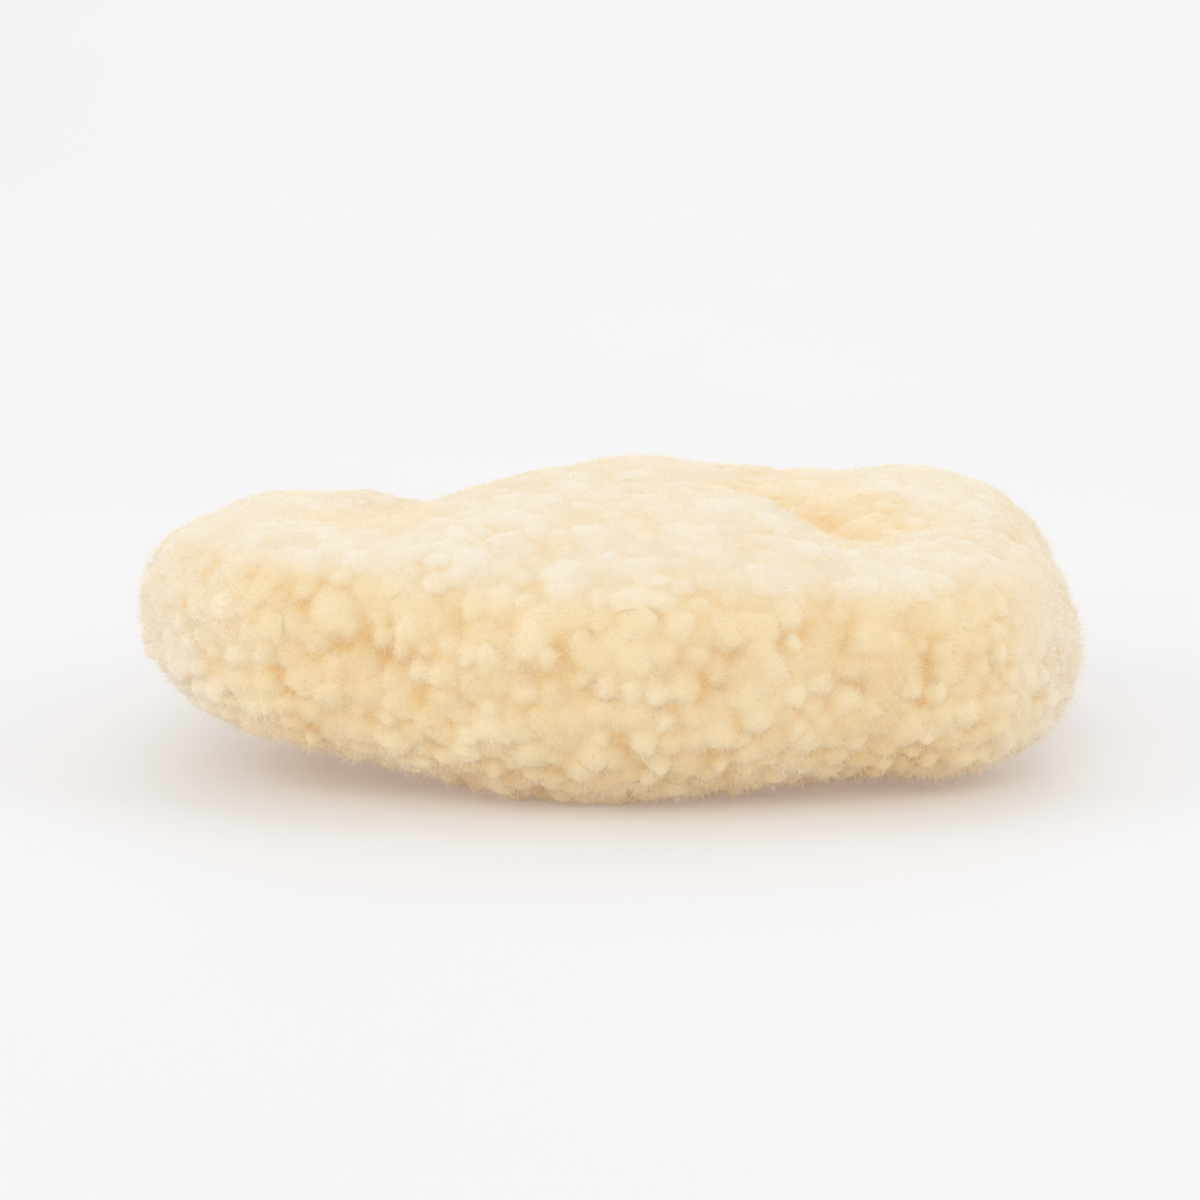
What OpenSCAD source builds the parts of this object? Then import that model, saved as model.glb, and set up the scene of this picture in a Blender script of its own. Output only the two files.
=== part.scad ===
// Wash mitt: two sheepskin panels sewn wool side out around a lined hand pocket, with a knitted wrist cuff.
// The finger end points to -Y, the cuff to +Y, the palm faces +Z, and the mitt rests on its back at z = 0.

/* [Body] */
// Width across the wool
body_w = 216; // [206:1:222]
// Y of the finger end of the wool
finger_y = -147; // [-150:1:-144]
// Y of the widest part of the body
wide_y = -66; // [-70:1:-60]
// Y of the wrist, where the wool ends
wrist_y = 76; // [74:1:80]
// Width across the wool at the wrist
wrist_w = 128; // [124:1:134]
// How square the finger end is: 2 is an ellipse
squareness = 2.7; // [2.4:0.1:3]
// Depth of the wool pile at the rim
pile = 18; // [16:1:20]
// Thickness of the hide
hide_t = 1.8; // [1.4:0.1:2]
// Thickness of the lining
lining_t = 1; // [0.8:0.1:1.2]

/* [Cuff] */
// Length of the cuff from the wrist seam to the hem
cuff_l = 68; // [60:1:74]
// Width of the cuff at its narrowest
cuff_waist_w = 90; // [86:1:94]
// Width of the cuff at its hem
cuff_hem_w = 98; // [94:1:104]
// Height of the cuff at its hem
cuff_hem_h = 27; // [24:1:30]
// Width of the elastic in the hem
elastic_w = 10; // [8:1:12]
// Thickness of the elastic
elastic_t = 0.8; // [0.6:0.1:0.8]

/* [Hanging loop] */
// Width of the tape
tape_w = 10; // [8:1:12]
// Thickness of the tape
tape_t = 1.2; // [1:0.1:1.6]
// Inside radius of the loop's eye
eye_r = 9; // [8:0.5:10]

/* [Hidden] */

net_u = 28;            // steps of a panel's net across the mitt
net_v = 18;            // steps of a panel's net from wrist to fingers
corner_a = 47;         // angle at which the side of the outline becomes the finger end
side_share = 0.62;     // share of a side that lies behind the widest part
palm_t = 26;           // height of the palm side over the seam, before the bumps
back_t = 27;           // depth of the back side under the seam, before the bumps
pile_share = 0.5;      // share of a side's height that the pile fills
seam_lump = 0.3;       // share of the outline's lumps that the seam follows

ring_n = 2 * net_u;    // steps round the cuff
cuff_n = 8;            // steps along the cuff
cuff_wall = hide_t + lining_t;
cuff_end = wrist_y + cuff_l;
slot_a = cuff_wall / 2 - elastic_t / 2 - 0.1;  // outer wall of the gap between the cuff's two layers
slot_b = cuff_wall / 2 + elastic_t / 2 + 0.1;  // inner wall of that gap
fold = 1.2;            // cloth at the hem between the gap and the cuff's end
thread_r = 0.45;       // radius of the seam threads
stitch_r = 0.5;        // radius of the tack thread the loop turns on
play = 0.05;           // running clearance of the loop on its tack thread
tack_y = cuff_end - 12;
loop_hang = 60;        // how far the loop hangs below level
label_y = [cuff_end - 34, cuff_end - 18];  // ends of the label along the cuff
label_k = [6, 11];     // ring steps that the label spans
label_t = 0.6;

// Bumps and hollows of the palm side: [x, y, height, reach along x, reach along y]
PALM_BUMPS = [
    [-4, -92, 9.5, 34, 36],
    [-27, -90, 5, 14, 30],
    [30, -90, 6.5, 13, 28],
    [54, -84, -6, 20, 30],
    [84, -92, 4.5, 26, 30],
    [-76, -88, -3, 24, 30],
    [4, 4, 10, 32, 26],
    [84, 4, 10.2, 34, 32],
    [-60, 22, -12, 32, 44],
    [-41, 10, -9, 15, 50],
    [0, 50, -6, 90, 26],
    [-4, -42, -9, 26, 14],
    [50, -45, -14, 26, 18],
    [86, -52, -5, 24, 16],
    [-62, -45, -12, 34, 17],
    [-52, 66, -9, 15, 46]
];

// Bumps and hollows of the back side
BACK_BUMPS = [
    [-6, -100, 10, 36, 48],
    [72, -84, 2, 26, 36],
    [0, 22, 10, 70, 36],
    [0, -38, -6, 130, 16]
];

// Lumps of the outline: [x, y, push outward, reach along x, reach along y]
OUTLINE_LUMPS = [
    [-104, -84, 5, 50, 32],
    [104, -84, -1, 50, 32],
    [-100, -38, -6, 50, 18],
    [104, -42, -8, 50, 16],
    [104, 2, 17, 50, 30],
    [-98, 4, 2, 50, 28],
    [4, -150, 9, 34, 40],
    [-56, -140, -4, 18, 36],
    [52, -145, -3, 16, 36]
];

function ease(t) = t * t * (3 - 2 * t);
function bell(t) = exp(-t * t);
function mix(a, b, t) = a * (1 - t) + b * t;
function clamp(t) = min(1, max(0, t));
function spow(c, n) = sign(c) * pow(abs(c), n);
function swell(list, x, y) = let (h = [for (b = list) b[2] * bell((x - b[0]) / b[3]) * bell((y - b[1]) / b[4])])
    h * [for (b = list) 1];

// Height of the seam that runs round the rim
function rim_z(x, y) = 32 + 7 * bell((x + 105) / 50) - 3 * bell((x - 98) / 42);

// The outline at an inset g from the wool's outer face
function half_w(g) = body_w / 2 - g;
function nose_l(g) = wide_y - finger_y - g;
function half_wrist(g) = wrist_w / 2 - 0.75 * g;
function nose(g, a) = let (r = pow(pow(abs(sin(a)), squareness) + pow(abs(cos(a)), squareness), -1 / squareness))
    [half_w(g) * r * sin(a), wide_y - nose_l(g) * r * cos(a)];
function side(g, v) = v < side_share
    ? let (t = v / side_share)
        [mix(half_wrist(g), half_w(g), sin(90 * t)), mix(wrist_y, wide_y, 1 - cos(90 * t))]
    : nose(g, 90 - (90 - corner_a) * (v - side_share) / (1 - side_share));
function mirrored(p) = [-p[0], p[1]];

// Plan position of net point u, v: u from -1 to 1 across, v from 0 at the wrist to 1 at the fingers
function plan(g, u, v) = let (
        s = (u + 1) / 2,
        wrist = [half_wrist(g), wrist_y],
        corner = nose(g, corner_a),
        right = side(g, v)
    )
    (1 - v) * [u * half_wrist(g), wrist_y] + v * nose(g, u * corner_a)
    + s * right + (1 - s) * mirrored(right)
    - (1 - v) * (s * wrist + (1 - s) * mirrored(wrist))
    - v * (s * corner + (1 - s) * mirrored(corner));

// Plan position after the outline's lumps, which push outward from the middle of the body
function lumpy_plan(g, lump, u, v) = let (
        p = plan(g, u, v),
        push = lump * swell(OUTLINE_LUMPS, p[0], p[1]) * ease(clamp(4 * v)),
        out = [p[0], p[1] - wide_y / 2]
    )
    p + push * out / (norm(out) + 30);

// 1 over the middle of a panel, falling to 0 at the rim as a rounded edge does
function crown(u, v) = sqrt(max(0, 1 - pow(abs(u), 7))) * sqrt(max(0, 1 - pow(v, 13)));

// A point of a panel: g insets it in plan, share scales its height and drop lowers it.
// up is 1 on the palm side and -1 on the back side
function face_point(g, share, drop, up, u, v) = let (
        p = lumpy_plan(g, share == 1 ? 1 : seam_lump, u, v),
        full = up > 0 ? palm_t + swell(PALM_BUMPS, p[0], p[1]) : back_t + swell(BACK_BUMPS, p[0], p[1]),
        z = rim_z(p[0], p[1]) + up * (share * full - drop) * crown(u, v)
    )
    [p[0], p[1], max(0, z)];

function step_u(i) = sin(180 * i / net_u - 90);
function step_v(j) = sin(90 * j / net_v);
function net(g, share, drop, up) = [
    for (j = [0:net_v]) for (i = [0:net_u])
        face_point(g, share, drop, up, step_u(i), step_v(j))
];
function wool_face(up) = net(0, 1, 0, up);
// The face that lies d under the hide's wool side
function under_hide(d, up) = net(pile + d, pile_share, d, up);

// The stitched rim at an inset g, from one side of the wrist round the fingers to the other;
// first is how many steps of the net it stays clear of the wrist
function rim_path(g, first) = [
    for (s = concat(
        [for (j = [first:net_v]) [-1, j / net_v]],
        [for (i = [1:net_v]) [2 * i / net_v - 1, 1]],
        [for (j = [net_v - 1:-1:first]) [1, j / net_v]]
    )) let (p = lumpy_plan(g, seam_lump, s[0], s[1])) [p[0], p[1], rim_z(p[0], p[1])]
];

// Closed solid between an outer and an inner net of the palm side (up is 1) or the back side (up is -1)
module between(outer, inner, up) {
    cols = net_u + 1;
    count = cols * (net_v + 1);
    rim = concat(
        [for (j = [0:net_v]) j * cols],
        [for (i = [1:net_u]) net_v * cols + i],
        [for (j = [net_v - 1:-1:0]) j * cols + net_u],
        [for (i = [net_u - 1:-1:1]) i]
    );
    quads = [for (j = [0:net_v - 1]) for (i = [0:net_u - 1])
        let (a = j * cols + i) [a, a + 1, a + cols + 1, a + cols]];
    edge = [for (k = [0:len(rim) - 1]) let (a = rim[k], b = rim[(k + 1) % len(rim)]) [a, b, b + count, a + count]];
    faces = concat(
        [for (q = quads) for (t = [[q[0], q[1], q[2]], [q[0], q[2], q[3]]]) t],
        [for (q = quads) for (t = [[q[2], q[1], q[0]], [q[3], q[2], q[0]]]) t + [count, count, count]],
        [for (q = edge) for (t = [[q[0], q[1], q[2]], [q[0], q[2], q[3]]]) t]
    );
    polyhedron(concat(outer, inner), up > 0 ? faces : [for (f = faces) [f[2], f[1], f[0]]]);
}

// The cuff's section at y, d under its outer face: it starts as the pocket's mouth and becomes an oval
function cuff_half_w(y) = let (t = (y - wrist_y) / cuff_l)
    mix(cuff_waist_w, cuff_hem_w, pow(abs(t - 0.45) / 0.55, 2)) / 2;
function cuff_z(y) = rim_z(0, 0) - 3 * ease(clamp((y - wrist_y) / cuff_l));
function cuff_point(k, y, d) = let (
        up = k < net_u ? 1 : -1,
        i = k < net_u ? k : ring_n - k,
        a = 180 * i / net_u - 90,
        mouth = face_point(pile + d, pile_share, d, up, sin(a), 0),
        oval = [
            (cuff_half_w(y) - d) * spow(sin(a), 0.85),
            y,
            cuff_z(y) + up * (cuff_hem_h / 2 - d) * pow(abs(cos(a)), 0.85)
        ]
    )
    mix([mouth[0], y, mouth[2]], oval, ease(clamp((y - wrist_y) / 34)));
function cuff_step(j, last) = mix(wrist_y, last, j / cuff_n);

// Closed ring swept round the cuff: profile lists [y, depth under the outer face] in order round the section
module cuff_ring(profile) {
    n = len(profile);
    points = [for (k = [0:ring_n - 1]) for (p = profile) cuff_point(k, p[0], p[1])];
    quads = [for (k = [0:ring_n - 1]) for (i = [0:n - 1]) let (m = (k + 1) % ring_n, j = (i + 1) % n)
        [k * n + i, m * n + i, m * n + j, k * n + j]];
    polyhedron(points, [for (q = quads) for (t = [[q[0], q[2], q[1]], [q[0], q[3], q[2]]]) t]);
}

// Thread of radius r along a path that lies about in the plane with this normal; a closed thread joins its ends
module thread(path, r, closed, normal) {
    n = len(path);
    sides = 6;
    last = closed ? n : n - 1;
    points = [for (i = [0:n - 1]) let (
            before = closed ? path[(i + n - 1) % n] : path[max(0, i - 1)],
            after = closed ? path[(i + 1) % n] : path[min(n - 1, i + 1)],
            along = (after - before) / norm(after - before),
            side1 = cross(along, normal) / norm(cross(along, normal)),
            side2 = cross(along, side1)
        )
        for (s = [0:sides - 1]) path[i] + r * (cos(360 * s / sides) * side1 + sin(360 * s / sides) * side2)];
    quads = [for (i = [0:last - 1]) for (s = [0:sides - 1]) let (m = (i + 1) % n, t = (s + 1) % sides)
        [i * sides + s, m * sides + s, m * sides + t, i * sides + t]];
    caps = closed ? [] : [[for (s = [0:sides - 1]) s], [for (s = [sides - 1:-1:0]) (n - 1) * sides + s]];
    polyhedron(points, concat([for (q = quads) for (t = [[q[0], q[1], q[2]], [q[0], q[2], q[3]]]) t], caps));
}

// The tack thread the loop turns on, clear of the flare of the hem
loop_pin_x = cuff_half_w(tack_y + tape_w / 2 + 1) + tape_t + 0.35;
loop_reach = eye_r + tape_t + 3.4;
loop_z = cuff_z(tack_y);

module palm_wool() {
    color("wheat") between(wool_face(1), under_hide(0, 1), 1);
}

module back_wool() {
    color("wheat") between(wool_face(-1), under_hide(0, -1), -1);
}

module palm_hide() {
    color("burlywood") between(under_hide(0, 1), under_hide(hide_t, 1), 1);
}

module back_hide() {
    color("burlywood") between(under_hide(0, -1), under_hide(hide_t, -1), -1);
}

module palm_lining() {
    color("gainsboro") between(under_hide(hide_t, 1), under_hide(cuff_wall, 1), 1);
}

module back_lining() {
    color("gainsboro") between(under_hide(hide_t, -1), under_hide(cuff_wall, -1), -1);
}

module shell_seam_thread() {
    color("ivory") thread(rim_path(pile, 0), thread_r, false, [0, 0, 1]);
}

module lining_seam_thread() {
    color("white") thread(rim_path(pile + hide_t + 0.5, 2), thread_r * 0.8, false, [0, 0, 1]);
}

module cuff_knit() {
    color("cornsilk") cuff_ring(concat(
        [for (j = [0:cuff_n]) [cuff_step(j, cuff_end - fold), 0]],
        [[cuff_end - 0.3, 0.5], [cuff_end, cuff_wall / 2], [cuff_end - 0.3, cuff_wall - 0.5]],
        [for (j = [cuff_n:-1:0]) [cuff_step(j, cuff_end - fold), cuff_wall]],
        [for (j = [0:cuff_n]) [cuff_step(j, cuff_end - fold), slot_b]],
        [for (j = [cuff_n:-1:0]) [cuff_step(j, cuff_end - fold), slot_a]]
    ));
}

module cuff_elastic() {
    y0 = cuff_end - fold - 0.3 - elastic_w;
    a = slot_a + 0.1;
    b = slot_b - 0.1;
    color("white") cuff_ring([[y0, a], [y0 + elastic_w, a], [y0 + elastic_w, b], [y0, b]]);
}

module wrist_seam_thread() {
    path = [for (k = [0:ring_n - 1]) cuff_point(k, wrist_y, cuff_wall)];
    color("ivory") thread(path, thread_r, true, [0, 1, 0]);
}

module hem_thread() {
    path = [for (k = [0:ring_n - 1]) cuff_point(k, cuff_end - elastic_w - 3, 0)];
    color("ivory") thread(path, thread_r * 0.8, true, [0, 1, 0]);
}

module care_label() {
    steps = [label_k[0]:label_k[1]];
    n = 2 * (label_k[1] - label_k[0] + 1);
    rows = [for (y = [label_y[0], (label_y[0] + label_y[1]) / 2, label_y[1]]) concat(
        [for (k = steps) cuff_point(k, y, -0.05 - label_t)],
        [for (k = [label_k[1]:-1:label_k[0]]) cuff_point(k, y, -0.05)]
    )];
    quads = [for (j = [0:1]) for (i = [0:n - 1]) let (m = (i + 1) % n)
        [j * n + i, j * n + m, j * n + n + m, j * n + n + i]];
    color("white") polyhedron(
        [for (r = rows) for (p = r) p],
        concat(
            [for (q = quads) for (t = [[q[0], q[2], q[1]], [q[0], q[3], q[2]]]) t],
            [for (i = [0:n / 2 - 2]) for (t = [[i, i + 1, n - 2 - i], [i, n - 2 - i, n - 1 - i]]) t],
            [for (i = [0:n / 2 - 2]) for (t = [[n - 2 - i, i + 1, i], [n - 1 - i, n - 2 - i, i]])
                t + [2 * n, 2 * n, 2 * n]]
        )
    );
}

module label_thread() {
    edge = 1.6;
    color("ivory") for (y = [label_y[0] + edge, label_y[1] - edge])
        thread([for (k = [label_k[0]:label_k[1]]) cuff_point(k, y, -0.1 - label_t)], 0.25, false, [0, 1, 0]);
}

module hang_loop() {
    color("tan") translate([loop_pin_x, tack_y, loop_z]) rotate([0, loop_hang, 0]) rotate([-90, 0, 0]) difference() {
        union() {
            translate([loop_reach, 0, -tape_w / 2]) cylinder(r = eye_r + tape_t, h = tape_w, $fn = 72);
            translate([0, 0, -tape_w / 2]) cylinder(r = tape_t, h = tape_w, $fn = 36);
            translate([0, -tape_t, -tape_w / 2]) cube([loop_reach - eye_r, 2 * tape_t, tape_w]);
        }
        translate([loop_reach, 0, -tape_w / 2 - 1]) cylinder(r = eye_r, h = tape_w + 2, $fn = 72);
        translate([0, 0, -tape_w / 2 - 1]) cylinder(r = stitch_r + play, h = tape_w + 2, $fn = 36);
    }
}

module loop_tack() {
    leg_y = tape_w / 2 + stitch_r + 0.3;
    color("ivory") translate([loop_pin_x, tack_y, loop_z]) {
        rotate([90, 0, 0]) cylinder(r = stitch_r, h = 2 * leg_y, center = true, $fn = 36);
        for (s = [-1, 1]) translate([0, s * leg_y, 0]) {
            sphere(r = stitch_r, $fn = 24);
            rotate([0, -90, 0]) cylinder(r = stitch_r, h = tape_t + 2.4, $fn = 24);
        }
    }
}

palm_wool();
back_wool();
palm_hide();
back_hide();
palm_lining();
back_lining();
shell_seam_thread();
lining_seam_thread();
cuff_knit();
cuff_elastic();
wrist_seam_thread();
hem_thread();
care_label();
label_thread();
hang_loop();
loop_tack();
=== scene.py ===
import math

import bmesh
import bpy
import numpy as np
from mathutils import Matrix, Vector, noise
from mathutils.kdtree import KDTree


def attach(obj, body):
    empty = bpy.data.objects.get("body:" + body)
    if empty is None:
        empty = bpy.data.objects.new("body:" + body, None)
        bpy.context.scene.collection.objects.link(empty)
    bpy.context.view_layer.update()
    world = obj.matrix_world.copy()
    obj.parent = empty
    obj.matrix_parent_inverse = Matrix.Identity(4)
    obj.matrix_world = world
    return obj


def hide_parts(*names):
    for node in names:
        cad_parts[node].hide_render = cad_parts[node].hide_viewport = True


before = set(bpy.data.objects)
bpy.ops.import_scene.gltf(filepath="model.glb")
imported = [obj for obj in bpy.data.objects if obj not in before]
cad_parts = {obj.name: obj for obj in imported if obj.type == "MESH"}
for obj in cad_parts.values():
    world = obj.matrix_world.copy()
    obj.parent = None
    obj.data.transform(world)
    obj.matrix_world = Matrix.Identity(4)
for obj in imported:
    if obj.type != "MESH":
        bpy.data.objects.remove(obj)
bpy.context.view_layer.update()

MM = 0.001

# ---- sizes that part.scad sets, in millimetres ----
# the wrist, where the wool ends and the cuff starts
WRIST_Y = 76.0
WRIST_HALF = 64.0
PILE = 18.0
HIDE_HALF = WRIST_HALF - 0.75 * PILE
RIM_WRIST_Z = 32.072
# twice each panel's height over the rim seam, before its bumps are added
PALM_T = 26.0
BACK_T = 27.0

# the cuff, which narrows to a waist between the wrist and the hem
CUFF_L = 68.0
CUFF_END = 144.0
CUFF_WALL = 2.8
CUFF_WAIST_W = 90.0
CUFF_WAIST_AT = 0.45
CUFF_HEM_W = 98.0
CUFF_HEM_H = 27.0
CUFF_DROP = 3
ELASTIC_Y = (132.5, 142.5)

# the label's ends along the cuff, and its sides as turns round the cuff
LABEL_Y = (110.0, 126.0)
LABEL_TURN = (6 / 56, 11 / 56)

# the hanging loop and its tack, and the angle in degrees at which the loop hangs
TACK_Y = 132.0
TACK_R = 0.5
TAPE_W = 10.0
TAPE_T = 1.2
EYE_R = 9.0
LOOP_HANG = 60.0

# the bumps of the pelt that reach the wrist: (x, y, height, reach along x, reach along y)
PALM_BUMPS = [(-60, 22, -12, 32, 44), (-41, 10, -9, 15, 50), (0, 50, -6, 90, 26), (-52, 66, -9, 15, 46)]
BACK_BUMPS = [(0, 22, 10, 70, 36)]


def rim_z(x, y):
    """Height in mm of the seam that runs round the rim."""
    return 32 + 7 * np.exp(-(((x + 105) / 50) ** 2)) - 3 * np.exp(-(((x - 98) / 42) ** 2))


def pocket_half(x, up):
    """Height in mm of the hide over the seam at the wrist; up is 1 on the palm side and -1 on the back."""
    def full(base, bumps):
        lift = 0
        for bump_x, bump_y, height, reach_x, reach_y in bumps:
            away = -(((x - bump_x) / reach_x) ** 2) - ((WRIST_Y - bump_y) / reach_y) ** 2
            lift = lift + height * np.exp(away)
        return base + lift

    return 0.5 * np.where(up > 0, full(PALM_T, PALM_BUMPS), full(BACK_T, BACK_BUMPS))


def smoothstep(low, high, x):
    """0 where x is below low and 1 above high, with a smooth change between; low may be the larger one."""
    t = np.clip((x - low) / (high - low), 0, 1)
    return ease(t)


def ease(t):
    """Smooth change from 0 to 1 as t goes from 0 to 1."""
    return t * t * (3 - 2 * t)


def unit(vectors):
    """Rows of an array scaled to length 1."""
    return vectors / np.linalg.norm(vectors, axis=1)[:, None]


# ---- mesh helpers ----
def in_scene(name, data):
    """New object with the given mesh, camera or light, linked to the scene."""
    obj = bpy.data.objects.new(name, data)
    bpy.context.scene.collection.objects.link(obj)
    return obj


def new_object(name, verts, faces):
    """Smooth-shaded object from lists of vertices and of faces with any number of corners."""
    mesh = bpy.data.meshes.new(name)
    mesh.from_pydata([tuple(v) for v in verts], [], [tuple(f) for f in faces])
    mesh.validate()
    mesh.update()
    mesh.polygons.foreach_set("use_smooth", [True] * len(mesh.polygons))
    return in_scene(name, mesh)


def fast_object(name, verts, faces):
    """Smooth-shaded object from numpy vertices (n, 3) and faces (m, k), all with k corners."""
    mesh = bpy.data.meshes.new(name)
    k = faces.shape[1]
    mesh.vertices.add(len(verts))
    mesh.vertices.foreach_set("co", verts.astype(np.float32).ravel())
    mesh.loops.add(faces.size)
    mesh.loops.foreach_set("vertex_index", faces.astype(np.int32).ravel())
    mesh.polygons.add(len(faces))
    mesh.polygons.foreach_set("loop_start", np.arange(len(faces), dtype=np.int32) * k)
    mesh.polygons.foreach_set("use_smooth", np.full(len(faces), True))
    mesh.update(calc_edges=True)
    return in_scene(name, mesh)


def coords(mesh):
    """The vertices' places as an array (n, 3), in metres."""
    co = np.zeros(len(mesh.vertices) * 3, np.float32)
    mesh.vertices.foreach_get("co", co)
    return co.reshape(-1, 3).astype(float)


def normals(mesh):
    """The vertices' normals as an array (n, 3)."""
    no = np.zeros(len(mesh.vertices) * 3, np.float32)
    mesh.vertices.foreach_get("normal", no)
    return no.reshape(-1, 3).astype(float)


def set_coords(mesh, co):
    """Moves the vertices to the places in co."""
    mesh.vertices.foreach_set("co", co.astype(np.float32).ravel())
    mesh.update()


def edge_ends(mesh):
    """The two vertices of each edge, as an array (n, 2)."""
    ends = np.zeros(len(mesh.edges) * 2, np.int32)
    mesh.edges.foreach_get("vertices", ends)
    return ends.reshape(-1, 2)


def point_attribute(mesh, name, values):
    """Stores one number at each vertex, for the materials to read."""
    attribute = mesh.attributes.new(name, "FLOAT", "POINT")
    attribute.data.foreach_set("value", values.astype(np.float32))


def apply_modifiers(obj):
    """Puts the object's modifiers into its mesh."""
    depsgraph = bpy.context.evaluated_depsgraph_get()
    mesh = bpy.data.meshes.new_from_object(obj.evaluated_get(depsgraph))
    old = obj.data
    obj.modifiers.clear()
    obj.data = mesh
    bpy.data.meshes.remove(old)


def outward(obj):
    """Turns a closed mesh's faces outward."""
    bm = bmesh.new()
    bm.from_mesh(obj.data)
    bmesh.ops.recalc_face_normals(bm, faces=bm.faces)
    bm.to_mesh(obj.data)
    bm.free()
    return obj


def drop_faces(bm, faces):
    """Deletes the faces, and then the vertices that no face uses."""
    bmesh.ops.delete(bm, geom=faces, context="FACES")
    bmesh.ops.delete(bm, geom=[v for v in bm.verts if not v.link_faces], context="VERTS")


def search_tree(points):
    """A tree that finds the nearest of the points."""
    tree = KDTree(len(points))
    for i, point in enumerate(points):
        tree.insert(point, i)
    tree.balance()
    return tree


def node_points(*names):
    """The vertices of the named CAD nodes."""
    return [v.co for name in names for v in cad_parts[name].data.vertices]


# ---- the wool's skin ----
# vertices closer than MERGE are made one, and a wool vertex lies on its hide when it is closer than ON_HIDE
MERGE = 1e-5
ON_HIDE = 2e-5


def wool_blob():
    """One closed skin round the whole body, from the outer faces of the CAD wool panels."""
    bm = bmesh.new()
    for name in ("palm_wool", "back_wool"):
        bm.from_mesh(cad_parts[name].data)
    hides = search_tree(node_points("palm_hide", "back_hide"))
    bmesh.ops.remove_doubles(bm, verts=bm.verts, dist=MERGE)
    inner = {v for v in bm.verts if hides.find(v.co)[2] < ON_HIDE}
    wrist = (WRIST_Y - 0.01) * MM
    # the faces on the hides go, but not the panels' flat ends at the wrist
    hidden = []
    for f in bm.faces:
        on_end = all(v.co.y > wrist for v in f.verts)
        if any(v in inner for v in f.verts) and not on_end:
            hidden.append(f)
    drop_faces(bm, hidden)
    rim = [e for e in bm.edges if e.is_boundary]
    bmesh.ops.holes_fill(bm, edges=rim, sides=0)
    bmesh.ops.triangulate(bm, faces=[f for f in bm.faces if len(f.verts) > 4])
    bmesh.ops.recalc_face_normals(bm, faces=bm.faces)
    mesh = bpy.data.meshes.new("blob")
    bm.to_mesh(mesh)
    bm.free()
    return in_scene("blob", mesh)


def even_skin(obj, voxel):
    """Smooths the faceted skin and rebuilds it with small even faces."""
    sub = obj.modifiers.new("sub", "SUBSURF")
    sub.levels = sub.render_levels = 1
    remesh = obj.modifiers.new("remesh", "REMESH")
    remesh.mode = "VOXEL"
    remesh.voxel_size = voxel
    soften = obj.modifiers.new("soften", "SMOOTH")
    soften.factor = 0.5
    # more steps on smaller faces, so that the skin comes out equally smooth
    soften.iterations = int(round(14 * (0.001 / voxel) ** 2)) + 4
    apply_modifiers(obj)


def in_mouth(co, share):
    """True for points inside the hide's edge at the wrist, with the edge scaled by share."""
    x, z = co[:, 0] / MM, co[:, 2] / MM
    u = np.clip(np.abs(x) / (HIDE_HALF * share), 0, 1)
    lift = np.sqrt(1 - u**7) * share
    top = RIM_WRIST_Z + pocket_half(x, 1) * lift
    low = RIM_WRIST_Z - pocket_half(x, -1) * lift
    return (co[:, 1] / MM > WRIST_Y - 4) & (u < 1) & (z < top) & (z > low)


def face_corners(mesh):
    """Each face's first corner and number of corners, and each corner's vertex."""
    start = np.zeros(len(mesh.polygons), np.int32)
    total = np.zeros(len(mesh.polygons), np.int32)
    corner = np.zeros(len(mesh.loops), np.int32)
    mesh.polygons.foreach_get("loop_start", start)
    mesh.polygons.foreach_get("loop_total", total)
    mesh.loops.foreach_get("vertex_index", corner)
    return start, total, corner


def split_sides(mesh, upper):
    """For each face whether it is kept and whether it is the palm's; upper is true at the palm's vertices."""
    edges = edge_ends(mesh)
    share = upper.astype(float)
    # each vertex takes the side that most of its neighbours have, three times over
    for _ in range(3):
        total = share.copy()
        count = np.ones(len(share))
        for a, b in ((0, 1), (1, 0)):
            np.add.at(total, edges[:, a], share[edges[:, b]])
            np.add.at(count, edges[:, a], 1)
        share = (total / count > 0.5).astype(float)
    centre = np.zeros(len(mesh.polygons) * 3, np.float32)
    mesh.polygons.foreach_get("center", centre)
    keep = ~in_mouth(centre.reshape(-1, 3), 0.97)
    start, total, corner = face_corners(mesh)
    palm = keep & (np.add.reduceat(share[corner], start) / total > 0.4)
    back = keep & ~main_patch(mesh, palm)
    palm = keep & ~main_patch(mesh, back)
    return keep, palm


def main_patch(mesh, mask):
    """The largest connected patch of the faces that mask picks."""
    bm = bmesh.new()
    bm.from_mesh(mesh)
    bm.faces.ensure_lookup_table()
    todo = set(np.where(mask)[0].tolist())
    best = []
    while todo:
        patch = [todo.pop()]
        for i in patch:
            for e in bm.faces[i].edges:
                for f in e.link_faces:
                    if f.index in todo:
                        todo.discard(f.index)
                        patch.append(f.index)
        if len(patch) > len(best):
            best = patch
    bm.free()
    found = np.zeros(len(mask), bool)
    found[best] = True
    return found


def scatter(points, gap, order):
    """Indices of points at least gap apart, taken in the given order."""
    cells = {}
    chosen = []
    key = np.floor(points / gap).astype(int)
    near = [(a, b, c) for a in (-1, 0, 1) for b in (-1, 0, 1) for c in (-1, 0, 1)]
    limit = gap * gap
    for i in order:
        x, y, z = points[i]
        kx, ky, kz = key[i]
        clear = True
        for a, b, c in near:
            for j in cells.get((kx + a, ky + b, kz + c), ()):
                p = points[j]
                if (p[0] - x) ** 2 + (p[1] - y) ** 2 + (p[2] - z) ** 2 < limit:
                    clear = False
                    break
            if not clear:
                break
        if clear:
            cells.setdefault((kx, ky, kz), []).append(i)
            chosen.append(i)
    return np.array(chosen)


def field(points, scale, octaves=2):
    """Smooth noise from about -1 to 1 at each point; scale is the size of its lumps in metres."""
    return np.array([noise.fractal(Vector(p) / scale, 1.0, 2.0, octaves) for p in points])


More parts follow.
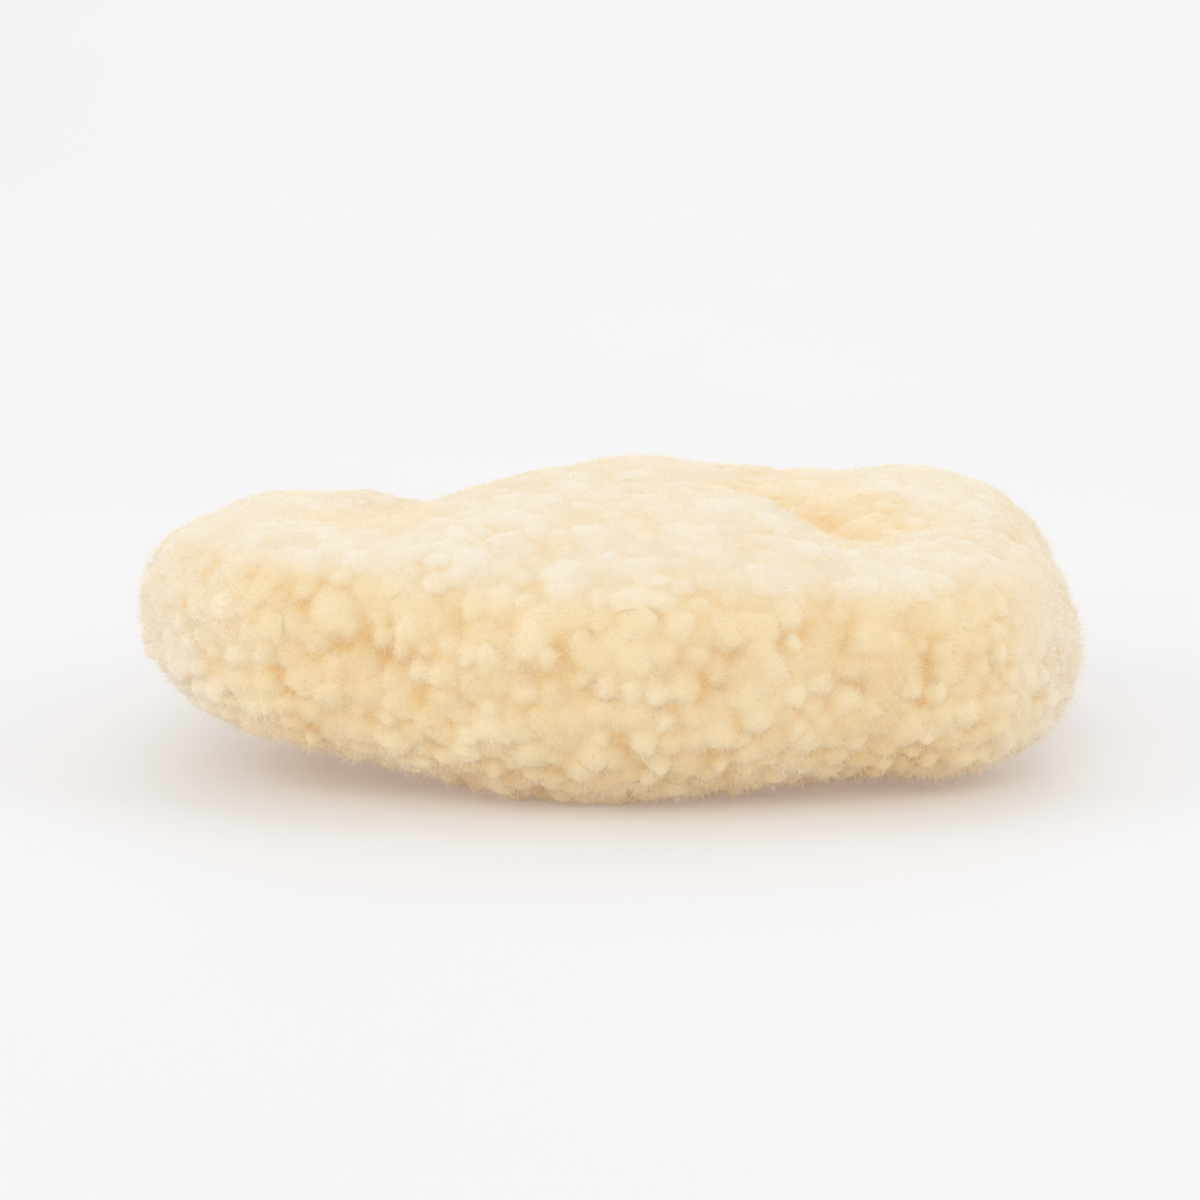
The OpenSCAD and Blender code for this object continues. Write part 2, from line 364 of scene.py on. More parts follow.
def hollow(mesh, co, no, reach):
    """How far in metres each point lies under the skin's local average, over about the given reach."""
    a, b = edge_ends(mesh).T
    n = len(co)
    count = np.bincount(a, minlength=n) + np.bincount(b, minlength=n)
    spacing = np.linalg.norm(co[a] - co[b], axis=1).mean()
    mean = co.copy()
    for _ in range(int(2 * (reach / spacing) ** 2)):
        sums = [np.bincount(a, mean[b, k], n) + np.bincount(b, mean[a, k], n) for k in range(3)]
        total = np.stack(sums, 1)
        mean = total / count[:, None]
    return ((mean - co) * no).sum(1)


def tuft_layer(points, no, gap, spread, seed):
    """Soft round tufts at the given spacing, each a dome that blends into its neighbours.

    Gives each point's height on its dome, from 0 to about 1, and its tuft's lean, random tone and centre.
    """
    rng = np.random.default_rng(seed)
    chosen = scatter(points, gap, rng.permutation(len(points)))
    centres = points[chosen]
    reach = 0.84 * gap * (1 + spread * (2 * rng.random(len(centres)) - 1))
    warp = np.stack([field(points + offset, gap * 0.8) for offset in (0.0, 0.11, 0.23)], 1) * gap * 0.22
    tree = search_tree(centres)
    neighbours = 6
    index = np.zeros((len(points), neighbours), int)
    away = np.zeros((len(points), neighbours))
    for i, point in enumerate(points + warp):
        for k, (_, nearest, distance) in enumerate(tree.find_n(point, neighbours)):
            index[i, k] = nearest
            away[i, k] = distance
    height = 1 - (away / reach[index]) ** 2
    sharp = 9.0
    dome = np.log(1 + np.exp(sharp * np.clip(height, -5, 1)).sum(1)) / sharp
    dome = (dome - dome.min()) / (np.percentile(dome, 99) - dome.min())
    first = index[np.arange(len(points)), height.argmax(1)]
    tone = rng.random(len(centres))
    lean = rng.normal(size=(len(centres), 3))
    lean -= (lean * no[chosen]).sum(1)[:, None] * no[chosen]
    lean /= np.linalg.norm(lean, axis=1)[:, None] + 1e-9
    return np.clip(dome, 0, 1.15), lean[first], tone[first], centres[first]


VOXEL = 0.9 * MM
# spacing of the tufts and of the small curls on them
TUFT_GAP = 5.0 * MM
CURL_GAP = 2.2 * MM

blob = wool_blob()
even_skin(blob, VOXEL)
skin = coords(blob.data)
skin_no = normals(blob.data)
dome, lean, tone, tuft = tuft_layer(skin, skin_no, TUFT_GAP, 0.42, 11)
small = tuft_layer(skin, skin_no, CURL_GAP, 0.3, 12)[0]
keep, palm_side = split_sides(blob.data, tuft[:, 2] > rim_z(tuft[:, 0] / MM, tuft[:, 1] / MM) * MM)
# soft noise in broad lumps, in whole patches and in the finest grain
broad = field(skin, 18 * MM)
patch = field(skin, 34 * MM)
fine = field(skin, 1.6 * MM, 3)
# how far the skin faces up: 0 straight down, 1 straight up
sky = 0.5 + 0.5 * skin_no[:, 2]
# how far the skin dips under its surroundings, and a painted highlight that pales the wool on surfaces that
# face up, less in hollows, and towards both ends
dip = hollow(blob.data, skin, skin_no, 14 * MM)
painted_highlight = smoothstep(0.72, 0.97, sky) * (0.25 + 0.75 * smoothstep(0.6 * MM, -1.6 * MM, dip))
painted_highlight = np.maximum(painted_highlight, 0.9 * smoothstep(72 * MM, 106 * MM, np.abs(skin[:, 0])))
# the wool is brushed out smooth on top and curls up tight towards the floor
curled = 0.85 - 0.35 * smoothstep(0.62, 0.97, sky) + 0.05 * smoothstep(0.5, 0.1, sky) + 0.35 * patch
curled = np.clip(curled, 0.35, 1.05)

# each vertex moves out along the skin's normal by rise, and with its tuft's lean and weight by shift, in mm
tall = 0.65 + 0.7 * tone
rise = curled * (2.5 * dome * tall - 1.5) + 0.34 * small * (0.3 + 0.7 * curled) + 1.1 * broad + 0.06 * fine
in_edge = in_mouth(skin, 1.06)
rise = np.where(in_edge, -0.3, rise)
sag = np.array([0, 0, -0.4]) * dome[:, None]
shift = lean * (dome * (0.4 + tone) * curled)[:, None] + sag
shift = np.where(in_edge[:, None], 0.0, shift)
wool = skin + skin_no * rise[:, None] * MM + shift * MM
wool[:, 2] = np.maximum(wool[:, 2], 0.15 * MM + 0.25 * MM * (1 - dome))
set_coords(blob.data, wool)
soften = blob.modifiers.new("soften", "SMOOTH")
soften.factor = 0.5
soften.iterations = 5
apply_modifiers(blob)

# what the material reads: painted shade that deepens between tufts and in dimples, the painted highlight, and
# the tuft's own random tone
# painted shade between tufts, strongest where the wool curls tight, in patches
crease_shade = np.clip(1.05 - 1.35 * dome, 0, 1) * np.clip(curled * 1.2, 0, 1)
crease_shade = crease_shade * smoothstep(-1.1, 0.6, field(skin, 7 * MM))
# painted shade in the dimples, where the skin dips deep under its surroundings
dimple_shade = smoothstep(0.6 * MM, 3.2 * MM, dip)
point_attribute(blob.data, "crease_shade", crease_shade)
point_attribute(blob.data, "dimple_shade", dimple_shade)
point_attribute(blob.data, "painted_highlight", painted_highlight)
point_attribute(blob.data, "tone", tone)
skin_normal = blob.data.attributes.new("skin_normal", "FLOAT_VECTOR", "POINT")
skin_normal.data.foreach_set("vector", normals(blob.data).astype(np.float32).ravel())


# ---- the two panels of wool ----
def inner_net(node, under):
    """The face of a CAD node that lies on the node under it."""
    tree = search_tree(node_points(under))
    bm = bmesh.new()
    bm.from_mesh(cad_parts[node].data)
    bmesh.ops.remove_doubles(bm, verts=bm.verts, dist=MERGE)
    touching = {v for v in bm.verts if tree.find(v.co)[2] < ON_HIDE}
    drop_faces(bm, [f for f in bm.faces if not all(v in touching for v in f.verts)])
    return bm


def edge_loop(bm):
    """The longest open edge of a mesh as vertices in order."""
    todo = {e for e in bm.edges if e.is_boundary}
    best = []
    while todo:
        e = todo.pop()
        loop = [e.verts[0], e.verts[1]]
        while True:
            ahead = [x for x in loop[-1].link_edges if x in todo]
            if not ahead:
                break
            todo.discard(ahead[0])
            loop.append(ahead[0].other_vert(loop[-1]))
        if loop[0] == loop[-1]:
            loop.pop()
        if len(loop) > len(best):
            best = loop
    return best


def from_corner(loop):
    """The loop from the right-hand wrist corner, round the fingers first, and each vertex's place along it.

    The place goes from 0 to 1 at the left-hand wrist corner, and from there to 2 back across the wrist.
    """
    at = np.array([v.co for v in loop])
    right = np.argmin(np.linalg.norm(at - np.array([HIDE_HALF, WRIST_Y, RIM_WRIST_Z]) * MM, axis=1))
    loop = loop[right:] + loop[:right]
    at = np.roll(at, -right, axis=0)
    left = np.argmin(np.linalg.norm(at - np.array([-HIDE_HALF, WRIST_Y, RIM_WRIST_Z]) * MM, axis=1))
    if at[: left + 1, 1].min() > 0:
        loop = [loop[0]] + loop[:0:-1]
        at = np.concatenate([at[:1], at[:0:-1]])
        left = len(loop) - left
    step = np.linalg.norm(np.roll(at, -1, axis=0) - at, axis=1)
    run = np.concatenate([[0], np.cumsum(step)])
    across_wrist = 1 + (run[:-1] - run[left]) / (run[-1] - run[left])
    place = np.where(run[:-1] <= run[left], run[:-1] / run[left], across_wrist)
    return loop, place


def edge_key(a, b):
    """The same pair of numbers for an edge, from whichever end it is taken."""
    return tuple(sorted((a.index, b.index)))


def close_to_hide(bm, node, hide):
    """Closes a panel's open skin with the face that lies on its hide."""
    longest = edge_loop(bm)
    around = {edge_key(a, b) for a, b in zip(longest, longest[1:] + longest[:1])}
    spare = [e for e in bm.edges if e.is_boundary and edge_key(*e.verts) not in around]
    bmesh.ops.holes_fill(bm, edges=spare, sides=0)
    outer, outer_at = from_corner(longest)
    net = inner_net(node, hide)
    # the net stops short of the wrist, so that nothing of it shows on the panel's end
    last_y = (WRIST_Y - 2.5) * MM
    copied = {v: bm.verts.new((v.co.x, min(v.co.y, last_y), v.co.z)) for v in net.verts}
    for f in net.faces:
        bm.faces.new([copied[v] for v in f.verts])
    inner, inner_at = from_corner(edge_loop(net))
    # a strip of triangles joins the two open edges, stepping along whichever is behind
    i = j = 0
    n = len(outer)
    m = len(inner)
    while i < n or j < m:
        next_i = outer_at[i + 1] if i + 1 < n else 2.0
        next_j = inner_at[j + 1] if j + 1 < m else 2.0
        a, b = outer[i % n], copied[inner[j % m]]
        if j >= m or (i < n and next_i <= next_j):
            i += 1
            c = outer[i % n]
        else:
            j += 1
            c = copied[inner[j % m]]
        if len({a, b, c}) == 3:
            try:
                bm.faces.new([a, b, c])
            except ValueError:
                pass
    net.free()
    bmesh.ops.recalc_face_normals(bm, faces=bm.faces)


def keep_normals(mesh):
    """Shades the panel with the whole skin's normals, so that no line shows where the two panels meet.

    The faces that close the panel have no skin normal and keep their own.
    """
    no = np.zeros(len(mesh.vertices) * 3, np.float32)
    mesh.attributes["skin_normal"].data.foreach_get("vector", no)
    no = no.reshape(-1, 3)
    start, total, corner = face_corners(mesh)
    face_no = np.zeros(len(start) * 3, np.float32)
    mesh.polygons.foreach_get("normal", face_no)
    bare = np.linalg.norm(no, axis=1) < 0.5
    hidden = np.repeat(np.logical_or.reduceat(bare[corner], start), total)
    split = np.where(hidden[:, None], np.repeat(face_no.reshape(-1, 3), total, axis=0), no[corner])
    mesh.normals_split_custom_set(split.tolist())
    mesh.attributes.remove(mesh.attributes["skin_normal"])


def wool_panel(name, faces_kept, node, hide):
    """One panel of wool: its share of the skin, closed against its own hide."""
    mesh = blob.data.copy()
    bm = bmesh.new()
    bm.from_mesh(mesh)
    bm.faces.ensure_lookup_table()
    drop_faces(bm, [bm.faces[i] for i in np.where(~faces_kept)[0]])
    bm.verts.index_update()
    close_to_hide(bm, node, hide)
    for f in bm.faces:
        f.smooth = True
    bm.to_mesh(mesh)
    bm.free()
    keep_normals(mesh)
    obj = in_scene(name, mesh)
    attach(obj, "mitt")
    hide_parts(node)
    return obj


palm = wool_panel("palm_wool_curls", keep & palm_side, "palm_wool", "palm_hide")
back = wool_panel("back_wool_curls", keep & ~palm_side, "back_wool", "back_hide")


# ---- loose fibres that stand off the curls ----
# fibres in each piece, and vertices in each fibre
FIBRES = 62000
FIBRE_POINTS = 5


def fibres(name, face_mask, count, seed, stand, longest, half_width):
    """Tapered ribbons that grow out of the curls; stand is how upright they are, and sizes are in mm."""
    rng = np.random.default_rng(seed)
    mesh = blob.data
    mesh.calc_loop_triangles()
    n_tri = len(mesh.loop_triangles)
    tri = np.zeros(n_tri * 3, np.int32)
    owner = np.zeros(n_tri, np.int32)
    mesh.loop_triangles.foreach_get("vertices", tri)
    mesh.loop_triangles.foreach_get("polygon_index", owner)
    tri = tri.reshape(-1, 3)[face_mask[owner]]
    co = coords(mesh)
    no = normals(mesh)
    a, b, c = co[tri[:, 0]], co[tri[:, 1]], co[tri[:, 2]]
    area = np.linalg.norm(np.cross(b - a, c - a), axis=1)
    middle = (a + b + c) / 3 / MM
    near_seam = np.exp(-(((middle[:, 2] - rim_z(middle[:, 0], middle[:, 1])) / 4) ** 2))
    weight = area * (0.4 + 0.6 * np.clip(dome[tri].mean(1), 0, 1) + 0.7 * near_seam)
    # each fibre's root is a random place on a random triangle, and blend weighs that triangle's corners
    roots = tri[rng.choice(len(tri), count, p=weight / weight.sum())]
    first = roots[:, 0]
    blend = rng.dirichlet((1, 1, 1), count)[:, :, None]
    root = (co[roots] * blend).sum(1)
    up = unit((no[roots] * blend).sum(1))
    comb = (lean[roots] * blend).sum(1)
    flow = unit(up * stand + comb * 0.5 + rng.normal(size=(count, 3)) * 0.45)
    curl = rng.normal(size=(count, 3)) * 0.6
    shorter_on_top = 1 - 0.45 * smoothstep(0.7, 0.97, sky[first])
    length = (0.35 + 0.65 * rng.random(count) ** 1.5) * longest * MM * shorter_on_top
    foot = root - up * 0.25 * MM
    knee = foot + unit(flow + curl * 0.4) * length[:, None] * 0.5
    tip = knee + unit(flow * 0.6 + curl + up * 0.25) * length[:, None] * 0.5
    across = unit(np.cross(flow, up + 0.5 * rng.normal(size=(count, 3))))
    half = across * (half_width * (0.8 + 0.4 * rng.random(count))[:, None] * MM)
    verts = np.stack([foot - half, foot + half, knee - half * 0.8, knee + half * 0.8, tip], 1)
    verts[:, :, 2] = np.maximum(verts[:, :, 2], 0.05 * MM)
    base = np.arange(count)[:, None] * FIBRE_POINTS
    tris = [base + np.array(corners) for corners in ((0, 1, 3), (0, 3, 2), (2, 3, 4))]
    obj = fast_object(name, verts.reshape(-1, 3), np.concatenate(tris, 1).reshape(-1, 3))
    # the skin's painted shade and painted highlight where each fibre grows, and a random tone
    for attribute, values in (
        ("dimple_shade", dimple_shade[first]),
        ("tone", rng.random(count)),
        ("crease_shade", crease_shade[first] * 0.6),
        ("painted_highlight", painted_highlight[first]),
    ):
        point_attribute(obj.data, attribute, np.repeat(values, FIBRE_POINTS))
    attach(obj, "mitt")
    return obj


wisps = []
for side, mask, seed in (("palm", keep & palm_side, 21), ("back", keep & ~palm_side, 31)):
    wisps.append(fibres(f"{side}_curled_fibres", mask, FIBRES, seed, 0.35, 2.8, 0.06))
    wisps.append(fibres(f"{side}_haze_fibres_1", mask, FIBRES, seed + 1, 0.9, 3.6, 0.035))
    wisps.append(fibres(f"{side}_haze_fibres_2", mask, FIBRES, seed + 2, 1.3, 4.6, 0.025))
bpy.data.objects.remove(blob)


# ---- shapes that follow the pelt's edge and the cuff ----
def cuff_half_width(from_waist):
    """Half the oval cuff's width in mm, at a share of the cuff's length away from its waist."""
    widening = (from_waist / (1 - CUFF_WAIST_AT)) ** 2
    return (CUFF_WAIST_W + (CUFF_HEM_W - CUFF_WAIST_W) * widening) / 2


def cuff_point(turn, y, depth):
    """Points in metres, depth mm under the cuff's face; turn goes from 0 to 1 round it, palm side first."""
    turn, y, depth = np.broadcast_arrays(np.asarray(turn, float) % 1, np.asarray(y, float), depth)
    side = -np.cos(2 * np.pi * turn)
    height = np.abs(np.sin(2 * np.pi * turn))
    up = np.where(turn < 0.5, 1.0, -1.0)
    # at the wrist the cuff has the pocket's outline
    mouth_x = side * (WRIST_HALF - 0.75 * (PILE + depth))
    rounding = np.sqrt(np.clip(1 - np.abs(side) ** 7, 0, 1))
    mouth_z = rim_z(mouth_x, WRIST_Y) + up * (pocket_half(mouth_x, up) - depth) * rounding
    # past the wrist it turns into an oval
    along = (y - WRIST_Y) / CUFF_L
    half_w = cuff_half_width(np.abs(along - CUFF_WAIST_AT))
    oval_x = (half_w - depth) * np.sign(side) * np.abs(side) ** 0.85
    middle_z = RIM_WRIST_Z - CUFF_DROP * ease(np.clip(along, 0, 1))
    oval_z = middle_z + up * (CUFF_HEM_H / 2 - depth) * height**0.85
    oval = ease(np.clip((y - WRIST_Y) / 34, 0, 1))
    return np.stack([mouth_x * (1 - oval) + oval_x * oval, y, mouth_z * (1 - oval) + oval_z * oval], -1) * MM


def even_turns(count):
    """Turns round the cuff at equal distances along its waist."""
    t = np.linspace(0, 1, 2001)
    step = np.linalg.norm(np.diff(cuff_point(t, 112.0, 0.0), axis=0), axis=1)
    run = np.concatenate([[0], np.cumsum(step)])
    return np.interp(np.arange(count) / count * run[-1], run, t)


def ring_piece(name, points):
    """Closed ring from a grid of points: first index round the section's profile, second round the ring."""
    rows, cols = points.shape[:2]
    here = np.arange(rows * cols).reshape(rows, cols)
    beside = np.roll(here, -1, axis=1)
    faces = np.stack([here, beside, np.roll(beside, -1, axis=0), np.roll(here, -1, axis=0)], -1)
    return outward(fast_object(name, points.reshape(-1, 3), faces.reshape(-1, 4)))


# ribs round the cuff, and points across each
RIBS = 62
RIB_STEPS = 8


def rib_cuff():
    """The knitted cuff: a doubled tube with a fold at the hem and a gap inside for the elastic."""
    turns = even_turns(RIBS * RIB_STEPS)
    in_rib = np.arange(RIBS * RIB_STEPS) / RIB_STEPS
    raised = np.clip(0.5 + 0.75 * np.cos(2 * np.pi * in_rib), 0, 1) ** 0.7
    from_middle = np.abs(((in_rib + 0.5) % 1) - 0.5)
    half_wall = CUFF_WALL / 2
    hem = CUFF_END - half_wall
    # the section as (y, depth, how strongly the knit shows): out, round the fold, back, and round the gap
    profile = [(y, 0.0, 1.0) for y in np.linspace(WRIST_Y, hem, 92)]
    for angle in np.linspace(0, np.pi, 9)[1:-1]:
        side = math.cos(angle)
        profile.append((hem + half_wall * math.sin(angle), half_wall * (1 - side), abs(side)))
    profile += [(y, CUFF_WALL, -0.7) for y in np.linspace(hem, WRIST_Y, 30)]
    profile += [(y, half_wall + 0.5, 0.0) for y in np.linspace(WRIST_Y, CUFF_END - 1.2, 9)]
    profile += [(y, half_wall - 0.5, 0.0) for y in np.linspace(CUFF_END - 1.2, WRIST_Y, 9)]
    rows = []
    for y, depth, knit in profile:
        stitch = np.abs(np.sin(np.pi * (y / 2.6 - 0.9 * from_middle)))
        sag = 0
        if knit == 1:
            sag = 0.5 * field(np.stack([turns * 0.2, np.full_like(turns, y * MM), turns * 0], 1), 0.03)
        rise = knit * (0.75 * raised * (0.8 + 0.2 * stitch) - 0.3) + 0.25 * sag
        past_seam = ease(min(1, max(0, (y - WRIST_Y) / 4)))
        rows.append(cuff_point(turns, y, depth - rise * past_seam))
    return ring_piece("rib_knit_cuff", np.array(rows))


def elastic_band():
    """The woven elastic inside the hem, with the fine cross ribs that its cords make."""
    around = 360
    turns = even_turns(around)
    cord = 0.08 * np.cos(np.arange(around) * np.pi / 2)
    rows = [cuff_point(turns, y, CUFF_WALL / 2 - 0.4 - cord) for y in np.linspace(*ELASTIC_Y, 12)]
    rows += [cuff_point(turns, y, CUFF_WALL / 2 + 0.4 + cord) for y in np.linspace(*ELASTIC_Y[::-1], 12)]
    return ring_piece("elastic_band", np.array(rows))


# ---- hides and linings ----
def cloth_panel(name, node, up, depth):
    """A panel from its CAD node, made finer, with folds up to depth mm deep towards the rim."""
    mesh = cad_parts[node].data.copy()
    obj = in_scene(name, mesh)
    bm = bmesh.new()
    bm.from_mesh(mesh)
    bmesh.ops.remove_doubles(bm, verts=bm.verts, dist=1e-6)
    bm.to_mesh(mesh)
    bm.free()
    mesh.materials.clear()
    sub = obj.modifiers.new("sub", "SUBSURF")
    sub.subdivision_type = "SIMPLE"
    sub.levels = sub.render_levels = 2
    apply_modifiers(obj)
    co = coords(obj.data)
    stretched = co * np.array([1.0, 0.35, 0.3])
    folds = 0.5 + 0.5 * field(stretched, 9 * MM)
    inside = smoothstep(WRIST_Y, WRIST_Y - 12, co[:, 1] / MM) if depth else 0
    co[:, 2] -= up * depth * MM * np.clip(folds, 0, 1) * inside
    set_coords(obj.data, co)
    obj.data.polygons.foreach_set("use_smooth", [True] * len(obj.data.polygons))
    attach(obj, "mitt")
    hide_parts(node)
    return obj


# ---- threads ----
def tubes(name, paths, radius, sides=6):
    """Round capped tubes along each path of points in metres; radius is in mm."""
    verts = []
    faces = []
    for path in paths:
        path = np.asarray(path, float)
        last = len(path) - 1
        along = np.gradient(path, axis=0)
        along /= np.linalg.norm(along, axis=1)[:, None] + 1e-12
        helper = np.eye(3)[np.abs(along.mean(0)).argmin()]
        one = unit(np.cross(along, helper))
        two = np.cross(along, one)
        start = len(verts)
        for k in range(last + 1):
            taper = 0.75 if k in (0, last) else 1.0
            for s in range(sides):
                a = 2 * math.pi * s / sides
                verts.append(path[k] + radius * taper * MM * (math.cos(a) * one[k] + math.sin(a) * two[k]))
        for ring in range(start, start + last * sides, sides):
            for s in range(sides):
                t = (s + 1) % sides
                faces.append((ring + s, ring + t, ring + sides + t, ring + sides + s))
        faces.append(tuple(start + s for s in range(sides - 1, -1, -1)))
        faces.append(tuple(start + last * sides + s for s in range(sides)))
    return outward(new_object(name, verts, faces))


def rim_line(node, under, pitch):
    """Points in metres, pitch mm apart, along the edge that a CAD node shares with the one under it.

    They run from wrist to wrist, and stop a few stitches short of it at both ends.
    """
    net = inner_net(node, under)
    loop, place = from_corner(edge_loop(net))
    line = np.array([v.co for v, at in zip(loop, place) if at <= 1.0001])
    net.free()
    run = np.concatenate([[0], np.cumsum(np.linalg.norm(np.diff(line, axis=0), axis=1))])
    marks = np.arange(3 * MM, run[-1] - 3 * MM, pitch * MM)
    return np.stack([np.interp(marks, run, line[:, k]) for k in range(3)], 1)[4:-4]


def sewn(obj, node):
    """Declares a piece that is sewn to the mitt."""
    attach(obj, "mitt")
    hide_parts(node)
    return obj


def whip_stitches(name, line, node):
    """Stitches that go over both hides' edges, slanted along the seam."""
    ahead = unit(np.gradient(line, axis=0))
    up = np.array([0, 0, 1.0])
    # one stitch, as steps in mm out of the seam, up and along it
    bend = [(-1.6, 1.1, -0.9), (-0.6, 1.35, -0.45), (0.25, 0.7, -0.15), (0.45, 0.0, 0.0),
            (0.25, -0.7, 0.15), (-0.6, -1.35, 0.45), (-1.6, -1.1, 0.9)]
    paths = []
    for p, t in zip(line, ahead):
        out = np.cross(up, t)
        out /= np.linalg.norm(out)
        if out @ np.array([p[0], p[1] + 0.03, 0]) < 0:
            out = -out
        paths.append([p + MM * (a * out + b * up + c * t) for a, b, c in bend])
    return sewn(tubes(name, paths, 0.32), node)


def running_stitches(name, line, radius, node, inward):
    """Short stitches at each point of a line, with their ends pulled into the cloth along inward."""
    length = 2.3
    sink = 0.35
    bend = [(-0.5, 1.0), (-0.42, 0.3), (-0.2, -0.1), (0.2, -0.1), (0.42, 0.3), (0.5, 1.0)]
    paths = []
    for p, ahead, into in zip(line, unit(np.gradient(line, axis=0)), inward):
        paths.append([p + MM * (a * length * ahead + b * sink * into) for a, b in bend])
    return sewn(tubes(name, paths, radius), node)


def round_cuff(count, y, depth):
    """Even points round the cuff, and at each the direction into it."""
    turns = even_turns(count)
    line = cuff_point(turns, y, depth)
    return line, unit(cuff_point(turns, y, depth + 0.5) - line)


rib = sewn(rib_cuff(), "cuff_knit")
elastic = sewn(elastic_band(), "cuff_elastic")

hides = [
    cloth_panel("palm_pelt_hide", "palm_hide", 1, 0.0),
    cloth_panel("back_pelt_hide", "back_hide", -1, 0.0),
]
linings = [
    cloth_panel("palm_pocket_lining", "palm_lining", 1, 0.8),
    cloth_panel("back_pocket_lining", "back_lining", -1, 0.8),
]

line = rim_line("palm_wool", "palm_hide", 3.2)
threads = [whip_stitches("shell_seam_stitches", line, "shell_seam_thread")]
line = rim_line("palm_hide", "palm_lining", 3.0)
threads.append(running_stitches("lining_seam_stitches", line, 0.3, "lining_seam_thread", 0 * line))
line, inward = round_cuff(78, WRIST_Y + 0.2, CUFF_WALL)
threads.append(running_stitches("wrist_seam_stitches", line, 0.36, "wrist_seam_thread", -inward))
line, inward = round_cuff(76, 131.0, -0.25)
threads.append(running_stitches("hem_stitches", line, 0.26, "hem_thread", inward))


# ---- the care label ----
def care_label():
    """A blank woven label: a thin plate that follows the cuff, with a raised woven edge."""
    cols = 34
    rows = 26
    u, v = np.meshgrid(np.linspace(0, 1, cols), np.linspace(0, 1, rows))
    border = np.minimum(np.minimum(u, 1 - u) * 13, np.minimum(v, 1 - v) * 16)
    ridge = 0.1 * smoothstep(1.3, 0.9, border)
    pucker = 0.12 * np.cos(2 * np.pi * 5 * u) * smoothstep(3.5, 0.5, np.minimum(v, 1 - v) * 16)
    turn = LABEL_TURN[0] + u * (LABEL_TURN[1] - LABEL_TURN[0])
    y = LABEL_Y[0] + v * (LABEL_Y[1] - LABEL_Y[0])
    top = cuff_point(turn, y, -0.55 - ridge - pucker - 0.25)
    low = cuff_point(turn, y, -0.05 - pucker - 0.25)
    under = rows * cols
    grid = np.arange(under).reshape(rows, cols)
    quads = np.stack([grid[:-1, :-1], grid[:-1, 1:], grid[1:, 1:], grid[1:, :-1]], -1).reshape(-1, 4)
    edge = np.concatenate([grid[0, :], grid[1:, -1], grid[-1, -2::-1], grid[-2:0:-1, 0]])
    after = np.roll(edge, -1)
    sides = np.stack([edge, after, after + under, edge + under], -1)
    faces = np.concatenate([quads, quads[:, ::-1] + under, sides])
    obj = fast_object("blank_care_label", np.concatenate([top.reshape(-1, 3), low.reshape(-1, 3)]), faces)
    point_attribute(obj.data, "border", np.tile(smoothstep(1.6, 1.1, border).ravel(), 2))
    return sewn(outward(obj), "care_label")


label = care_label()
label_lines = []
label_arch = np.array([-0.6, -1.0, -1.1, -1.0, -0.6])
for y in (LABEL_Y[0] + 1.6, LABEL_Y[1] - 1.6):
    for turn in np.linspace(LABEL_TURN[0] + 0.004, LABEL_TURN[1] - 0.004, 9):
        label_lines.append(cuff_point(np.linspace(turn - 0.0045, turn + 0.0045, 5), y, label_arch))
label_stitches = sewn(tubes("label_stitches", label_lines, 0.18), "label_thread")


# ---- the hanging loop ----
def tape_line():
    """The tape's middle line in mm, in the loop's own plane: round the tack, out to the eye and back."""
    eye_at = EYE_R + TAPE_T + 3.4
    eye_r = EYE_R + TAPE_T / 2
    wrap_r = TACK_R + TAPE_T / 2 + 0.05
    half = [(wrap_r * math.cos(a), wrap_r * math.sin(a)) for a in np.radians(np.linspace(180, 100, 9))]
    half += [(0.9, 0.82), (2.0, 0.66), (2.9, 0.66)]
    # a curve from the flat neck to where it meets the eye, at this angle from the neck
    meet = math.radians(22)
    start = np.array([2.9, 0.66])
    end = np.array([eye_at - eye_r * math.cos(meet), eye_r * math.sin(meet)])
    pulls = (start, start + [1.1, 0], end - [math.sin(meet), math.cos(meet)], end)
    for t in np.linspace(0.15, 1, 8):
        shares = ((1 - t) ** 3, 3 * (1 - t) ** 2 * t, 3 * (1 - t) * t * t, t**3)
        half.append(tuple(sum(share * point for share, point in zip(shares, pulls))))
    round_eye = np.radians(np.linspace(30, 180, 26))
    half += [(eye_at - eye_r * math.cos(a), eye_r * math.sin(a)) for a in round_eye]
    return np.array(half + [(x, -w) for x, w in half[-2:0:-1]])


def pin_place():
    """The middle of the tack, which the loop swings on, in mm."""
    tape_end = (TACK_Y + TAPE_W / 2 + 1 - WRIST_Y) / CUFF_L
    z = RIM_WRIST_Z - CUFF_DROP * ease((TACK_Y - WRIST_Y) / CUFF_L)
    return np.array([cuff_half_width(tape_end - CUFF_WAIST_AT) + TAPE_T + 0.35, TACK_Y, z])


PIN = pin_place()
HANG = math.radians(LOOP_HANG)
ALONG = np.array([math.cos(HANG), 0, -math.sin(HANG)])
ACROSS = np.array([math.sin(HANG), 0, math.cos(HANG)])


def hanging_loop():
    """Cotton tape folded into a loop, with its two ends laid together at the tack."""
    line = tape_line()
    ahead = unit(np.roll(line, -1, 0) - np.roll(line, 1, 0))
    side = np.stack([-ahead[:, 1], ahead[:, 0]], 1)
    v = np.linspace(-1, 1, 15)
    thick = TAPE_T / 2 - 0.05 * (np.abs(v) > 0.99) - 0.04 * (np.abs(np.abs(v) - 0.86) < 0.03)
    section = list(zip(v, thick)) + list(zip(v[::-1], -thick[::-1]))
    rows = []
    for w, t in section:
        flat = line + side * t
        in_width = np.array([0, w * TAPE_W / 2, 0])
        rows.append((PIN + flat[:, :1] * ALONG + flat[:, 1:] * ACROSS + in_width) * MM)
    obj = ring_piece("twill_hanging_loop", np.array(rows))
    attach(obj, "loop")
    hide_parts("hang_loop")
    return obj


loop = hanging_loop()
